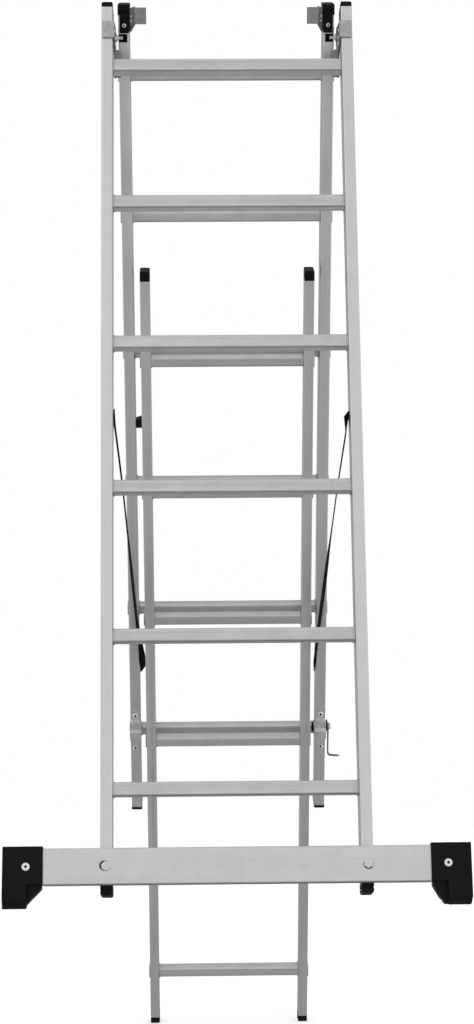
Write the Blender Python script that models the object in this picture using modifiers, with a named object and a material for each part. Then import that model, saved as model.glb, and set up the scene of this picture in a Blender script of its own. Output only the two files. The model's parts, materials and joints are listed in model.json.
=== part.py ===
"""Three-section aluminium combination ladder, standing as a stepladder across two stair treads.

The front section hangs on two hinge pins.  The middle section is its rear leg, and the lower
section slides along the middle one.  Metres, +Z up, the ladder is climbed from -Y.  The origin is
on the ground, in the middle of the ladder's footprint.

Each section is drawn in its own frame, whose origin is on the pitch line of its top rung in the plane
of the rails' front faces: X to the right, Y towards the back, Z up along the rails.
"""

import math

import bmesh
import bpy
from mathutils import Matrix, Vector

# ---- driving dimensions ---------------------------------------------------------------------
RUNG_PITCH = 0.280
RUNGS_PER_SECTION = 6
FRONT_LEAN = math.radians(12.6)
REAR_LEAN = math.radians(18.6)
GAP = 0.0003                       # kept between pieces that touch
RAIL_WALL = 0.0015
SIDES = (("left", -1), ("right", 1))

# Each section: overall width, rail face width, rail depth, the heights of the rail's ends, and how
# high its rungs are.
FRONT = dict(name="front", width=0.483, face=0.0215, depth=0.056, top=0.1133, bottom=-1.5722, rung=0.0250)
MIDDLE = dict(name="middle", width=0.424, face=0.022, depth=0.056, top=0.1187, bottom=-1.5735, rung=0.0215)
LOWER = dict(name="lower", width=0.353, face=0.020, depth=0.050, top=0.1700, bottom=-1.5043, rung=0.0215)

LOWER_STEP_DOWN = 2 * RUNG_PITCH + 0.0095   # lower section below the middle one, along the rails
LOWER_FORWARD = 0.042                       # lower rails' front faces in front of the middle ones
LOWER_SOLE = 0.0137                         # height of the lower feet at their front face

# Rungs: a hollow extrusion, swaged into the rails.
RUNG_DEPTH = 0.027
RUNG_TOP = 0.0125                  # tread of each rung above its pitch line
RUNG_CORNER = 0.004
RUNG_WALL = 0.0015
COLLAR_RISE = 0.0018
COLLAR_LENGTH = 0.0022

# Hinge: pin axis in the front frame and in the middle frame.
PIN_IN_FRONT = Vector((0.0, 0.0930, 0.0945))
PIN_IN_MIDDLE = Vector((0.0, 0.0070, 0.0750))
PIN_RADIUS = 0.0038
PIN_COLLAR_RADIUS = 0.0070
PLATE = 0.003                      # steel plate thickness

# Stabiliser bar across the foot of the front section.
BAR_TOP = -1.5095
BAR_HEIGHT = 0.064
BAR_DEPTH = 0.030
BAR_HALF = 0.3405
BAR_WALL = 0.002
BAR_BOLT_X = 0.2303
BAR_MID = BAR_TOP - BAR_HEIGHT / 2
FOOT_OUTER = 0.4120
FOOT_SOLE = -1.6180
FOOT_PROUD = 0.0030                # the feet stand in front of the bar by this much

# Screw that holds the tongue of each middle cap, on the middle of the rail's face.
CAP_SCREW_Z = 0.0995
FACE_CENTRE = 0.2010

# Slot for the hinge pin in each middle rail.
NOTCH_HALF_HEIGHT = 0.0080
NOTCH_DEPTH = 0.0150
NOTCH_INNER = 0.1945
LINER_WALL = 0.0016

# Latch on the right-hand middle rail.
LATCH_Z = -1.3890
LATCH_Y = 0.0080
LATCH_RADIUS = 0.0040

# Webbing straps that limit the opening.
STRAP_WIDTH = 0.025
STRAP_THICK = 0.002
STRAP_FRONT = Vector((0.2165, 0.030, -0.697))
STRAP_REAR = Vector((0.1865, 0.026, -1.256))


# ---- scene and materials ----------------------------------------------------------------------
for leftover in list(bpy.data.objects):
    bpy.data.objects.remove(leftover, do_unlink=True)

ladder = bpy.data.collections.new("combination_ladder")
cutters = bpy.data.collections.new("cutters")
bpy.context.scene.collection.children.link(ladder)
bpy.context.scene.collection.children.link(cutters)


def material(name, colour, roughness, metallic):
    made = bpy.data.materials.new(name)
    made.use_nodes = True
    shader = made.node_tree.nodes["Principled BSDF"]
    shader.inputs["Base Color"].default_value = (*colour, 1.0)
    shader.inputs["Roughness"].default_value = roughness
    shader.inputs["Metallic"].default_value = metallic
    return made


ALUMINIUM = material("aluminium", (0.60, 0.61, 0.62), 0.38, 0.9)
STEEL = material("galvanised_steel", (0.36, 0.37, 0.37), 0.50, 0.9)
ZINC = material("zinc_plate", (0.62, 0.62, 0.60), 0.30, 1.0)
PLASTIC = material("black_plastic", (0.012, 0.012, 0.013), 0.45, 0.0)
WEBBING = material("black_webbing", (0.010, 0.010, 0.011), 0.80, 0.0)


# ---- frames -----------------------------------------------------------------------------------
def empty(name, parent, location, lean=0.0):
    made = bpy.data.objects.new(name, None)
    made.location = location
    made.rotation_euler = (lean, 0.0, 0.0)
    made.parent = parent
    ladder.objects.link(made)
    return made


def leaned(vector, lean):
    return Matrix.Rotation(lean, 3, "X") @ Vector(vector)


def hinge_place():
    """World place of the hinge axis: ground under the lowest sole, footprint centred on Y = 0."""
    sole_front = Vector((0.0, -LOWER_FORWARD, -LOWER_STEP_DOWN + LOWER["bottom"] - LOWER_SOLE))
    sole_rear = sole_front + Vector((0.0, LOWER["depth"], -LOWER["depth"] * math.tan(REAR_LEAN)))
    low = leaned(sole_front - PIN_IN_MIDDLE, REAR_LEAN)
    back = leaned(sole_rear - PIN_IN_MIDDLE, REAR_LEAN)
    bar_foot = Vector((0.0, -(BAR_DEPTH + FOOT_PROUD), FOOT_SOLE))
    ahead = leaned(bar_foot - PIN_IN_FRONT, -FRONT_LEAN)
    return Vector((0.0, -(back.y + ahead.y) / 2, -low.z))


HINGE = hinge_place()

front_frame = empty("front_section", None, HINGE, -FRONT_LEAN)
middle_frame = empty("middle_section", None, HINGE, REAR_LEAN)
lower_frame = empty("lower_section", middle_frame,
                    Vector((0.0, -LOWER_FORWARD, -LOWER_STEP_DOWN)) - PIN_IN_MIDDLE)
latch_frame = empty("latch", middle_frame, Vector((0.0, LATCH_Y, LATCH_Z)) - PIN_IN_MIDDLE)

FRONT.update(frame=front_frame, shift=-PIN_IN_FRONT)
MIDDLE.update(frame=middle_frame, shift=-PIN_IN_MIDDLE)
LOWER.update(frame=lower_frame, shift=Vector())


# ---- shapes -----------------------------------------------------------------------------------
def rounded_rectangle(width, height, radius, steps=1):
    """Outline points, anticlockwise, with each corner an arc of `steps` chords."""
    points = []
    corners = ((1, 1, 0), (-1, 1, 90), (-1, -1, 180), (1, -1, 270))
    for sx, sy, start in corners:
        for step in range(steps + 1):
            angle = math.radians(start + 90.0 * step / steps)
            points.append((sx * (width / 2 - radius) + radius * math.cos(angle),
                           sy * (height / 2 - radius) + radius * math.sin(angle)))
    return points


def rectangle(width, height):
    return [(width / 2, height / 2), (-width / 2, height / 2),
            (-width / 2, -height / 2), (width / 2, -height / 2)]


AXES = {
    "Z": Matrix.Identity(4),
    "X": Matrix(((0, 0, 1, 0), (1, 0, 0, 0), (0, 1, 0, 0), (0, 0, 0, 1))),   # outline is (y, z)
    "Y": Matrix(((1, 0, 0, 0), (0, 0, -1, 0), (0, 1, 0, 0), (0, 0, 0, 1))),  # outline is (x, z)
}


def extruded(outlines, thickness, axis):
    """Mesh of flat outlines (the later ones are holes) extruded to both sides along an axis."""
    curve = bpy.data.curves.new("outline", "CURVE")
    curve.dimensions = "2D"
    curve.fill_mode = "BOTH"
    curve.extrude = thickness / 2
    for outline in outlines:
        spline = curve.splines.new("POLY")
        spline.points.add(len(outline) - 1)
        for point, (across, up) in zip(spline.points, outline):
            point.co = (across, up, 0.0, 1.0)
        spline.use_cyclic_u = True
    holder = bpy.data.objects.new("outline", curve)
    ladder.objects.link(holder)
    evaluated = holder.evaluated_get(bpy.context.evaluated_depsgraph_get())
    mesh = bpy.data.meshes.new_from_object(evaluated)
    bpy.data.objects.remove(holder, do_unlink=True)
    bpy.data.curves.remove(curve)
    mesh.transform(AXES[axis])
    clean(mesh)
    return mesh


def clean(mesh):
    edit = bmesh.new()
    edit.from_mesh(mesh)
    bmesh.ops.remove_doubles(edit, verts=edit.verts, dist=0.00002)
    bmesh.ops.recalc_face_normals(edit, faces=edit.faces)
    edit.to_mesh(mesh)
    edit.free()


def box(size, at=(0.0, 0.0, 0.0)):
    edit = bmesh.new()
    bmesh.ops.create_cube(edit, size=1.0)
    bmesh.ops.scale(edit, vec=size, verts=edit.verts)
    bmesh.ops.translate(edit, vec=at, verts=edit.verts)
    mesh = bpy.data.meshes.new("box")
    edit.to_mesh(mesh)
    edit.free()
    return mesh


def rod(radius, start, end, axis="X", segments=16, end_radius=None):
    """Round bar along an axis, from start to end, centred on that axis."""
    edit = bmesh.new()
    bmesh.ops.create_cone(edit, cap_ends=True, segments=segments, radius1=radius,
                          radius2=radius if end_radius is None else end_radius,
                          depth=end - start)
    turn = {"X": Matrix.Rotation(math.pi / 2, 4, "Y"), "Y": Matrix.Rotation(-math.pi / 2, 4, "X"),
            "Z": Matrix.Identity(4)}[axis]
    bmesh.ops.translate(edit, vec=(0.0, 0.0, (start + end) / 2), verts=edit.verts)
    bmesh.ops.transform(edit, matrix=turn, verts=edit.verts)
    mesh = bpy.data.meshes.new("rod")
    edit.to_mesh(mesh)
    edit.free()
    return mesh


def moved(mesh, offset):
    mesh.transform(Matrix.Translation(Vector(offset)))
    return mesh


def mirrored(mesh):
    mesh.transform(Matrix.Scale(-1.0, 4, Vector((1.0, 0.0, 0.0))))
    mesh.flip_normals()
    return mesh


def merged(meshes):
    """One mesh that holds several separate shapes, for a cutter."""
    edit = bmesh.new()
    for mesh in meshes:
        edit.from_mesh(mesh)
        bpy.data.meshes.remove(mesh)
    mesh = bpy.data.meshes.new("merged")
    edit.to_mesh(mesh)
    edit.free()
    return mesh


def boolean(target, mesh, operation, name):
    """Boolean modifier with a hidden cutter that sits in the target's own frame."""
    cutter = bpy.data.objects.new(name, mesh)
    cutter.hide_render = True
    cutter.display_type = "WIRE"
    cutter.parent = target.parent
    cutter.location = target.location
    cutters.objects.link(cutter)
    modifier = target.modifiers.new(operation.lower(), "BOOLEAN")
    modifier.operation = operation
    modifier.solver = "EXACT"
    modifier.object = cutter
    return modifier


def node(name, mesh, finish, section, at=(0.0, 0.0, 0.0), round_shape=False):
    """Named object for one piece, placed in its section's frame."""
    mesh.name = name
    made = bpy.data.objects.new(name, mesh)
    made.data.materials.clear()
    made.data.materials.append(finish)
    made.parent = section["frame"]
    made.location = Vector(at) + section["shift"]
    ladder.objects.link(made)
    if round_shape:
        mesh.shade_smooth()
        mesh.set_sharp_from_angle(angle=math.radians(35))
    return made


def add_bevel(piece, width, segments=1):
    bevel = piece.modifiers.new("edges", "BEVEL")
    bevel.width = width
    bevel.segments = segments
    bevel.limit_method = "ANGLE"
    bevel.angle_limit = math.radians(40)
    return bevel


# ---- rails and rungs ----------------------------------------------------------------------------
def rung_outline(section, grow=0.0):
    return rounded_rectangle(RUNG_DEPTH + 2 * grow, section["rung"] + 2 * grow, RUNG_CORNER)


def rung_heights(section):
    return [RUNG_TOP - section["rung"] / 2 - RUNG_PITCH * step for step in range(RUNGS_PER_SECTION)]


def rail(section, side, sign, extra_cuts=()):
    """Box-section rail, with a hole through both side walls at each rung."""
    width, depth = section["face"], section["depth"]
    length = section["top"] - section["bottom"]
    outer = rounded_rectangle(width, depth, 0.002, steps=2)
    inner = rectangle(width - 2 * RAIL_WALL, depth - 2 * RAIL_WALL)
    centre = Vector((sign * (section["width"] - width) / 2, depth / 2,
                     (section["top"] + section["bottom"]) / 2))
    piece = node(f"{section['name']}_rail_{side}", extruded([outer, inner], length, "Z"),
                 ALUMINIUM, section, centre)
    holes = [moved(extruded([rung_outline(section, GAP)], 2 * width, "X"), (0.0, 0.0, z - centre.z))
             for z in rung_heights(section)]
    holes += [moved(mesh, -centre) for mesh in extra_cuts]
    boolean(piece, merged(holes), "DIFFERENCE", f"{piece.name}_holes")
    return piece


def rung(section, number, height, collar_outside):
    """Hollow rung: through the rails' side walls, with swaged collars against them."""
    half = section["width"] / 2
    inside = half - section["face"]
    if collar_outside:
        stations = [(half + GAP + COLLAR_LENGTH, COLLAR_RISE), (half + GAP, COLLAR_RISE),
                    (half + GAP, 0.0)]
    else:
        stations = [(half - GAP, 0.0)]
    stations += [(inside - GAP, 0.0), (inside - GAP, COLLAR_RISE),
                 (inside - GAP - COLLAR_LENGTH, 0.0)]
    stations += [(-x, grow) for x, grow in reversed(stations)]
    edit = bmesh.new()
    outer = [[edit.verts.new((x, y, z)) for y, z in rung_outline(section, grow)]
             for x, grow in stations]
    ends = (stations[0][0], stations[-1][0])
    inner = [[edit.verts.new((x, y, z)) for y, z in rung_outline(section, -RUNG_WALL)] for x in ends]
    rings = [inner[0]] + outer + [inner[1], inner[0]]
    count = len(rings[0])
    for one, other in zip(rings, rings[1:]):
        for i in range(count):
            j = (i + 1) % count
            edit.faces.new((one[i], one[j], other[j], other[i]))
    bmesh.ops.recalc_face_normals(edit, faces=edit.faces)
    mesh = bpy.data.meshes.new("rung")
    edit.to_mesh(mesh)
    edit.free()
    return node(f"{section['name']}_rung_{number}", mesh, ALUMINIUM, section,
                (0.0, section["depth"] / 2, height))


def all_rungs(section, collar_outside=True):
    for number, height in enumerate(rung_heights(section), start=1):
        rung(section, number, height, collar_outside)


# ---- end caps -----------------------------------------------------------------------------------
def plug_size(section):
    clear = RAIL_WALL + GAP
    return section["face"] - 2 * clear, section["depth"] - 2 * clear


def end_cap(name, section, sign, height, plug, proud, upwards, slant=0.0, bevel=0.0015):
    """Moulded cap on a rail's end: a head as wide as the rail, and a plug inside it."""
    wide, deep = section["face"] + 2 * proud, section["depth"] + 2 * proud
    direction = 1 if upwards else -1
    edge = section["top"] if upwards else section["bottom"]
    head = box((wide, deep, height), (0.0, 0.0, direction * (GAP + height / 2)))
    for vertex in head.vertices:
        if vertex.co.z * direction > GAP + height / 2:
            vertex.co.z += direction * slant * (vertex.co.y + deep / 2)
    at = (sign * (section["width"] - section["face"]) / 2, section["depth"] / 2, edge)
    piece = node(name, head, PLASTIC, section, at)
    add_bevel(piece, bevel)
    wide, deep = plug_size(section)
    stem = box((wide, deep, plug + 0.002), (0.0, 0.0, direction * (0.002 - plug) / 2))
    stem.transform(Matrix.Translation((0.0, 0.0, direction * GAP)))
    boolean(piece, stem, "UNION", f"{name}_plug")
    return piece


# ---- front section --------------------------------------------------------------------------------
def front_section():
    bolt_hole = {sign: moved(rod(0.0043, -0.010, 0.012, "Y"), (sign * BAR_BOLT_X, 0.0, BAR_MID))
                 for _, sign in SIDES}
    for side, sign in SIDES:
        rail(FRONT, side, sign, extra_cuts=[bolt_hole[sign]])
        end_cap(f"front_top_cap_{side}", FRONT, sign, 0.0110, 0.016, 0.0002, True)
        end_cap(f"front_foot_{side}", FRONT, sign, 0.0177, 0.020, 0.0002, False)
        hinge_bracket(side, sign)
        hinge_pin(side, sign)
        stabiliser_foot(side, sign)
        stabiliser_bolt(side, sign)
    all_rungs(FRONT, collar_outside=False)
    stabiliser_bar()


def hinge_bracket(side, sign):
    """Steel plate on the rail's inner side, with a tab round its face and a tail behind it."""
    inner_face = FRONT["width"] / 2 - FRONT["face"]
    plate_x = inner_face - GAP - PLATE / 2
    pin = PIN_IN_FRONT
    tab_low, tab_high = 0.046, 0.082
    front = -GAP - PLATE
    head_radius = 0.014
    head = [(pin.y + head_radius * math.cos(math.radians(angle)),
             pin.z + head_radius * math.sin(math.radians(angle)))
            for angle in (110, 75, 40, 5, -30)]
    tail_rear = 0.0855
    outline = ([(front, tab_low), (front, tab_high), (0.040, 0.094)] + head
               + [(tail_rear, 0.066), (tail_rear, 0.004), (0.074, 0.004), (0.060, 0.040)])
    piece = node(f"hinge_bracket_{side}", moved(extruded([outline], PLATE, "X"),
                                                (sign * plate_x, 0.0, 0.0)), STEEL, FRONT)
    tab_outer = 0.0195 + inner_face
    tab_inner = plate_x - PLATE / 4
    tab = box((tab_outer - tab_inner, PLATE, tab_high - tab_low),
              (sign * (tab_outer + tab_inner) / 2, front + PLATE / 2, (tab_low + tab_high) / 2))
    boolean(piece, tab, "UNION", f"hinge_tab_{side}")
    tip = 0.2070
    flange_outline = [(plate_x, 0.006), (tip, 0.006), (tip, 0.056), (tip + 0.004, 0.063),
                      (plate_x, 0.0655)]
    flange = extruded([[(sign * x, z) for x, z in flange_outline]], PLATE, "Y")
    moved(flange, (0.0, tail_rear - PLATE / 2 - 0.0001, 0.0))
    boolean(piece, flange, "UNION", f"hinge_flange_{side}")
    bore = moved(rod(PIN_RADIUS + GAP, -0.010, 0.010), (sign * plate_x, pin.y, pin.z))
    boolean(piece, bore, "DIFFERENCE", f"hinge_bore_{side}")


def hinge_pin(side, sign):
    """Shouldered pin, riveted in the bracket, whose end sits in the middle rail's slot."""
    inner_face = FRONT["width"] / 2 - FRONT["face"]
    plate_in = inner_face - GAP - PLATE
    shaft = rod(PIN_RADIUS, 0.2030, inner_face + 0.0015)
    collar = rod(PIN_COLLAR_RADIUS, MIDDLE["width"] / 2 + 2 * GAP, plate_in - GAP)
    if sign < 0:
        mirrored(shaft)
        mirrored(collar)
    piece = node(f"hinge_pin_{side}", shaft, ZINC, FRONT, PIN_IN_FRONT, round_shape=True)
    boolean(piece, collar, "UNION", f"hinge_pin_collar_{side}")


def stabiliser_bar():
    profile = [rounded_rectangle(BAR_DEPTH, BAR_HEIGHT, 0.003, steps=2),
               rectangle(BAR_DEPTH - 2 * BAR_WALL, BAR_HEIGHT - 2 * BAR_WALL)]
    bar = node("stabiliser_bar", extruded(profile, 2 * BAR_HALF, "X"), ALUMINIUM, FRONT,
               (0.0, -GAP - BAR_DEPTH / 2, BAR_MID))
    holes = [moved(rod(0.0043, -0.04, 0.04, "Y"), (sign * BAR_BOLT_X, 0.0, 0.0))
             for _, sign in SIDES]
    boolean(bar, merged(holes), "DIFFERENCE", "stabiliser_bolt_holes")


def stabiliser_bolt(side, sign):
    head_front = -2 * GAP - BAR_DEPTH
    shaft = rod(0.0040, head_front - 0.0020, 0.0100, "Y", segments=12)
    piece = node(f"stabiliser_bolt_{side}", shaft, ZINC, FRONT, (sign * BAR_BOLT_X, 0.0, BAR_MID),
                 round_shape=True)
    head = rod(0.0085, head_front - 0.0055, head_front, "Y", segments=6)
    boolean(piece, head, "UNION", f"stabiliser_bolt_head_{side}")


def stabiliser_foot(side, sign):
    """Moulded foot on the bar's end: a leg that reaches below the rails, with a web set back beside it."""
    inner = BAR_HALF + GAP
    leg_inner = 0.3695
    outline = [(inner, BAR_TOP + 0.0035), (FOOT_OUTER - 0.003, BAR_TOP + 0.0035),
               (FOOT_OUTER, BAR_TOP), (FOOT_OUTER, FOOT_SOLE + 0.004),
               (FOOT_OUTER - 0.002, FOOT_SOLE),
               (leg_inner, FOOT_SOLE), (leg_inner, FOOT_SOLE + 0.0100), (0.3620, -1.6000),
               (inner, -1.5785)]
    depth = BAR_DEPTH + 2 * FOOT_PROUD
    mesh = extruded([[(sign * x, z) for x, z in outline]], depth, "Y")
    moved(mesh, (0.0, -GAP - BAR_DEPTH / 2, 0.0))
    front = -GAP - BAR_DEPTH - FOOT_PROUD
    for vertex in mesh.vertices:
        if vertex.co.z < -1.605:
            vertex.co.z += (vertex.co.y - front) * math.tan(FRONT_LEAN)
    piece = node(f"stabiliser_foot_{side}", mesh, PLASTIC, FRONT)
    recess_top, recess_low, recess_deep = -1.5718, -1.6300, 0.0100
    recess = box((leg_inner - inner + 0.002, 0.002 + recess_deep, recess_top - recess_low),
                 (sign * (leg_inner + inner - 0.002) / 2, front - 0.001 + recess_deep / 2,
                  (recess_top + recess_low) / 2))
    boolean(piece, recess, "DIFFERENCE", f"stabiliser_recess_{side}")
    add_bevel(piece, 0.0015)
    clear = 2 * (BAR_WALL + GAP)
    tenon = box((0.032, BAR_DEPTH - clear, BAR_HEIGHT - clear),
                (sign * (inner - 0.012), -GAP - BAR_DEPTH / 2, BAR_MID))
    boolean(piece, tenon, "UNION", f"stabiliser_tenon_{side}")
    screw_x = 0.3705
    hole = moved(rod(0.0033, front - 0.001, front + 0.012, "Y", segments=10),
                 (sign * screw_x, 0.0, BAR_MID))
    boolean(piece, hole, "DIFFERENCE", f"stabiliser_screw_hole_{side}")
    screw = rod(0.0030, front - 0.001, front + 0.010, "Y", segments=10)
    made = node(f"stabiliser_foot_screw_{side}", screw, ZINC, FRONT,
                (sign * screw_x, 0.0, BAR_MID), round_shape=True)
    head = rod(0.0050, front - 0.0028, front - GAP, "Y", segments=16, end_radius=0.0068)
    boolean(made, head, "UNION", f"stabiliser_screw_head_{side}")


# ---- middle section ---------------------------------------------------------------------------------
def notch_box(sign, shrink=0.0, reach=0.004):
    """Slot for the hinge pin, open to the front and to the outer side of the middle rail."""
    inner = NOTCH_INNER + shrink
    outer = MIDDLE["width"] / 2 + reach
    back = NOTCH_DEPTH - shrink
    height = 2 * (NOTCH_HALF_HEIGHT - shrink)
    return box((outer - inner, back + reach, height),
               (sign * (inner + outer) / 2, (back - reach) / 2, PIN_IN_MIDDLE.z))


def middle_section():
    latch_hole = moved(rod(LATCH_RADIUS + GAP, 0.15, 0.25, segments=16), (0.0, LATCH_Y, LATCH_Z))
    for side, sign in SIDES:
        cuts = [notch_box(sign), cap_screw_hole(sign)]
        if sign > 0:
            cuts.append(latch_hole)
        rail(MIDDLE, side, sign, extra_cuts=cuts)
        middle_cap(side, sign)
        end_cap(f"middle_foot_{side}", MIDDLE, sign, 0.0062, 0.016, 0.0005, False, bevel=0.001)
        hinge_liner(side, sign)
        guide_bracket(side, sign)
        lower_bracket(side, sign)
    all_rungs(MIDDLE)
    guide_block()
    latch()


def cap_screw_hole(sign):
    return moved(rod(0.0024, -0.004, 0.006, "Y", segments=8), (sign * FACE_CENTRE, 0.0, CAP_SCREW_Z))


def middle_cap(side, sign):
    """Top cap with a tongue down the rail's face, held by a screw."""
    piece = end_cap(f"middle_top_cap_{side}", MIDDLE, sign, 0.0205, 0.016, 0.0, True)
    tongue_low, tongue_wide, thick = 0.0845, 0.0185, 0.0025
    high = MIDDLE["top"] + 0.004
    centre = sign * (MIDDLE["width"] - MIDDLE["face"]) / 2
    tongue = box((tongue_wide, thick, high - tongue_low),
                 (sign * FACE_CENTRE - centre, -MIDDLE["depth"] / 2 - GAP - thick / 2,
                  (high + tongue_low) / 2 - MIDDLE["top"]))
    boolean(piece, tongue, "UNION", f"middle_cap_tongue_{side}")
    root = box((tongue_wide, thick + 0.002, 0.0035),
               (sign * FACE_CENTRE - centre, -MIDDLE["depth"] / 2 - GAP - thick / 2 + 0.001,
                GAP + 0.0018))
    boolean(piece, root, "UNION", f"middle_cap_root_{side}")
    hole = moved(rod(0.0024, -0.006, 0.004, "Y", segments=8),
                 (sign * FACE_CENTRE - centre, -MIDDLE["depth"] / 2, CAP_SCREW_Z - MIDDLE["top"]))
    boolean(piece, hole, "DIFFERENCE", f"middle_cap_hole_{side}")
    front = -GAP - thick
    screw = node(f"cap_screw_{side}", rod(0.0020, front - 0.001, 0.005, "Y", segments=8), ZINC, MIDDLE,
                 (sign * FACE_CENTRE, 0.0, CAP_SCREW_Z), round_shape=True)
    head = rod(0.0028, front - 0.0022, front - GAP, "Y", segments=16, end_radius=0.0042)
    boolean(screw, head, "UNION", f"cap_screw_head_{side}")


def hinge_liner(side, sign):
    """Plastic bearing in the slot, open towards the pin."""
    outer = notch_box(sign, GAP, reach=-0.0003)
    piece = node(f"hinge_liner_{side}", outer, PLASTIC, MIDDLE)
    bore = notch_box(sign, GAP + LINER_WALL, reach=0.01)
    boolean(piece, bore, "DIFFERENCE", f"hinge_liner_bore_{side}")


def guide_bracket(side, sign):
    """Steel guide riveted inside the rail, whose flange passes in front of the lower rail."""
    rail_inner = MIDDLE["width"] / 2 - MIDDLE["face"] - GAP
    bend_x = 0.1840
    flange_y = -LOWER_FORWARD - 0.0015
    tip = 0.1560
    outline = [(rail_inner, 0.040), (rail_inner, -0.002), (bend_x, -0.012),
               (bend_x, flange_y - PLATE), (tip, flange_y - PLATE), (tip, flange_y),
               (bend_x - PLATE, flange_y), (bend_x - PLATE, -0.010), (rail_inner - PLATE, 0.000),
               (rail_inner - PLATE, 0.040)]
    low, high = 0.1050, 0.1365
    mesh = extruded([[(sign * x, y) for x, y in outline]], high - low, "Z")
    piece = node(f"guide_bracket_{side}", moved(mesh, (0.0, 0.0, (low + high) / 2)), STEEL, MIDDLE)
    tail_outline = [(0.0385, 0.110), (0.001, 0.110), (0.001, 0.088), (0.012, 0.078), (0.0385, 0.078)]
    tail = extruded([tail_outline], PLATE - 0.0002, "X")
    moved(tail, (sign * (rail_inner - PLATE / 2), 0.0, 0.0))
    boolean(piece, tail, "UNION", f"guide_tail_{side}")


def lower_bracket(side, sign):
    """Pressed steel plate on the rail's face, that steps out twice, widens and turns sharply back."""
    low, high = -1.4385, -1.3430
    thick, first_rise, full_rise = 0.0030, 0.0050, 0.0090
    front = -GAP - thick
    outline = [(-GAP, low), (-GAP, high), (front, high), (front, -1.3660),
               (front - first_rise, -1.3700), (front - first_rise, -1.3875),
               (front - full_rise, -1.3930), (front - full_rise, -1.4245), (front, -1.4250),
               (front, low)]
    mesh = moved(extruded([outline], 0.0200, "X"), (sign * FACE_CENTRE, 0.0, 0.0))
    piece = node(f"lower_bracket_{side}", mesh, STEEL, MIDDLE)
    first, full = front - first_rise, front - full_rise
    wide = [(first, -1.3715), (first, -1.3875), (full, -1.3930), (full, -1.4120), (full + thick, -1.4120),
            (full + thick, -1.3935), (first + thick, -1.3880), (first + thick, -1.3715)]
    wings = moved(extruded([wide], 0.0250, "X"), (sign * FACE_CENTRE, 0.0, 0.0))
    boolean(piece, wings, "UNION", f"lower_bracket_wings_{side}")
    add_bevel(piece, 0.0008)


def guide_block():
    """Plastic spacer inside the left rail, beside the lower section's path."""
    outline = [(-0.1896, -0.7165), (-0.1775, -0.7165), (-0.1775, -0.6965), (-0.1896, -0.7000)]
    mesh = moved(extruded([outline], 0.0300, "Y"), (0.0, 0.0260, 0.0))
    add_bevel(node("guide_block", mesh, PLASTIC, MIDDLE), 0.001)


def latch():
    """Bolt across the right-hand rail, with a hanging lever that is turned by hand."""
    outside = MIDDLE["width"] / 2
    lever_in = outside + 0.0050
    lever_out = lever_in + 0.0030
    shaft = rod(LATCH_RADIUS, 0.1835, lever_out + 0.0020)
    bolt = node("latch_bolt", shaft, ZINC, MIDDLE, (0.0, LATCH_Y, LATCH_Z), round_shape=True)
    head = rod(0.0070, lever_out + GAP, lever_out + 0.0050, segments=6)
    boolean(bolt, head, "UNION", "latch_bolt_head")
    washer = rod(0.0075, outside + COLLAR_LENGTH + 2 * GAP, lever_in - GAP, segments=20)
    boolean(bolt, washer, "UNION", "latch_washer")
    past_collar = outside - MIDDLE["face"] - COLLAR_LENGTH - 3 * GAP
    inner_washer = rod(0.0062, past_collar - 0.0030, past_collar, segments=20)
    boolean(bolt, inner_washer, "UNION", "latch_inner_washer")
    arm = [(-0.0070, 0.0070), (0.0070, 0.0070), (0.0070, -0.0630), (-0.0070, -0.0630)]
    section = dict(frame=latch_frame, shift=Vector())
    lever = node("latch_lever", moved(extruded([arm], 0.0030, "X"),
                                      ((lever_in + lever_out) / 2, 0.0, 0.0)), STEEL, section)
    tab_outline = [(lever_in, -0.0600), (lever_out, -0.0600), (0.2430, -0.0690), (0.2430, -0.0720),
                   (lever_in + 0.001, -0.0660)]
    boolean(lever, extruded([tab_outline], 0.0138, "Y"), "UNION", "latch_tab")
    hole = rod(LATCH_RADIUS + GAP, lever_in - 0.005, lever_out + 0.005)
    boolean(lever, hole, "DIFFERENCE", "latch_lever_hole")


# ---- lower section ----------------------------------------------------------------------------------
def lower_section():
    for side, sign in SIDES:
        rail(LOWER, side, sign)
        end_cap(f"lower_top_cap_{side}", LOWER, sign, 0.0200, 0.016, 0.0002, True)
        end_cap(f"lower_foot_{side}", LOWER, sign, LOWER_SOLE - GAP, 0.020, 0.0, False,
                slant=math.tan(REAR_LEAN), bevel=0.0008)
    all_rungs(LOWER)


# ---- straps -------------------------------------------------------------------------------------------
def straps():
    """Webbing from the front rail's inner side to the middle rail's, taut when the ladder is open."""
    for side, sign in SIDES:
        start = HINGE + leaned(on_side(STRAP_FRONT, sign) - PIN_IN_FRONT, -FRONT_LEAN)
        end = HINGE + leaned(on_side(STRAP_REAR, sign) - PIN_IN_MIDDLE, REAR_LEAN)
        along = end - start
        mesh = box((STRAP_THICK, STRAP_WIDTH, along.length))
        made = bpy.data.objects.new(f"strap_{side}", mesh)
        made.data.materials.append(WEBBING)
        made.location = (start + end) / 2
        made.rotation_mode = "QUATERNION"
        made.rotation_quaternion = strap_turn(along)
        ladder.objects.link(made)


def on_side(place, sign):
    return Vector((sign * place.x, place.y, place.z))


def strap_turn(along):
    """Rotation that lays Z along the strap and keeps its width in the vertical plane."""
    up = along.normalized()
    across = Vector((1.0, 0.0, 0.0))
    across = (across - up * across.dot(up)).normalized()
    return Matrix((across, up.cross(across), up)).transposed().to_quaternion()


front_section()
middle_section()
lower_section()
straps()
bpy.context.view_layer.update()
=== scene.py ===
"""Looks of the three-section combination ladder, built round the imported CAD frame.

Each section's pieces are drawn in that section's own frame: X to the right, Y to the back (0 is the rails' front
faces), Z up along the rails, with the top rung's axis at Z = 0. Lengths are in metres.
"""
import json
import math

import bmesh
import bpy
from mathutils import Matrix, Vector


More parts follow.
